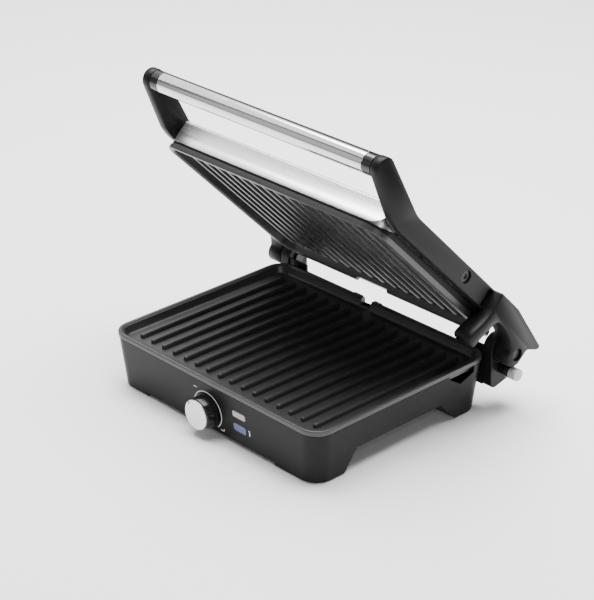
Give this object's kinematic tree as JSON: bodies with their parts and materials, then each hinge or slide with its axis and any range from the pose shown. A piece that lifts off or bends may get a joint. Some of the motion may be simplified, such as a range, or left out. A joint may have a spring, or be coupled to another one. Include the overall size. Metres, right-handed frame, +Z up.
{
  "type": "panini press",
  "caption": "Electric contact grill with ribbed plates, a steel lid carried between two side arms, a tube handle, a thermostat knob and signal lamps.",
  "frame": {"origin": "middle of the bounding box, on the floor the feet stand on", "axes": "+Z up, the knob and the front of the press towards -Y, +X to the right seen from the front"},
  "size_m": [0.3434, 0.2956, 0.3132],
  "materials": {
    "black_plastic": "fine satin moulding",
    "plate_coating": "cast, dark non-stick coating",
    "brushed_steel": "brushed",
    "polished_steel": "polished",
    "plain_steel": "plain",
    "black_steel": "black oxide",
    "aluminium": "plain",
    "rubber": "matte",
    "blue_lens": "clear blue, glossy",
    "clear_lens": "clear, glossy",
    "grey_plastic": "light grey, satin",
    "ceramic": "matte"
  },
  "bodies": {
    "base": {"base_housing": "black_plastic", "base_bottom_cover": "black_plastic", "lower_grill_plate": "plate_coating", "lower_heating_element": "plain_steel", "lower_reflector": "aluminium", "thermostat_body": "ceramic", "power_lens": "blue_lens", "ready_lens": "clear_lens", "power_lamp": "ceramic", "ready_lamp": "ceramic", "cord_gland": "black_plastic", "hinge_bracket_left": "black_plastic", "hinge_bracket_right": "black_plastic", "hinge_pin_left": "black_steel", "hinge_pin_right": "black_steel", "foot_front_left": "rubber", "foot_front_right": "rubber", "foot_rear_left": "rubber", "foot_rear_right": "rubber", "cover_screw_front_left": "plain_steel", "cover_screw_front_right": "plain_steel", "cover_screw_rear_left": "plain_steel", "cover_screw_rear_right": "plain_steel", "bracket_screw_left_1": "plain_steel", "bracket_screw_left_2": "plain_steel", "bracket_screw_right_1": "plain_steel", "bracket_screw_right_2": "plain_steel"},
    "arms": {"arm_left": "black_plastic", "arm_right": "black_plastic", "handle_boss_left": "black_plastic", "handle_boss_right": "black_plastic", "handle_tube": "polished_steel", "pivot_screw_left": "black_steel", "pivot_screw_right": "black_steel"},
    "lid": {"lid_cover": "brushed_steel", "lid_frame": "black_plastic", "upper_grill_plate": "plate_coating", "upper_heating_element": "plain_steel", "upper_reflector": "aluminium", "pivot_boss_left": "aluminium", "pivot_boss_right": "aluminium"},
    "knob": {"thermostat_shaft": "plain_steel", "knob_body": "black_plastic", "knob_cap": "brushed_steel"},
    "release": {"release_button": "grey_plastic", "release_pin": "plain_steel", "release_spring": "plain_steel"}
  },
  "joints": [
    {"name": "lid_hinge", "type": "hinge", "parent": "base", "child": "arms", "pos_m": [-0.00125, 0.11367, 0.061], "axis": [-1, 0, 0], "range_deg": [-45, 65]},
    {"name": "lid_float", "type": "hinge", "parent": "arms", "child": "lid", "pos_m": [-0.00125, 0.04721, 0.16282], "axis": [1, 0, 0], "range_deg": [-0.7, 0.7]},
    {"name": "thermostat_turn", "type": "hinge", "parent": "base", "child": "knob", "pos_m": [-0.00575, -0.13753, 0.0243], "axis": [0, 1, 0], "range_deg": [0, 270]},
    {"name": "release_press", "type": "slide", "parent": "base", "child": "release", "axis": [-1, 0, 0], "range_m": [0, 0.006], "stiffness_N_per_m": 600, "springref_m": -0.003, "deforming": ["release_spring"]}
  ]
}
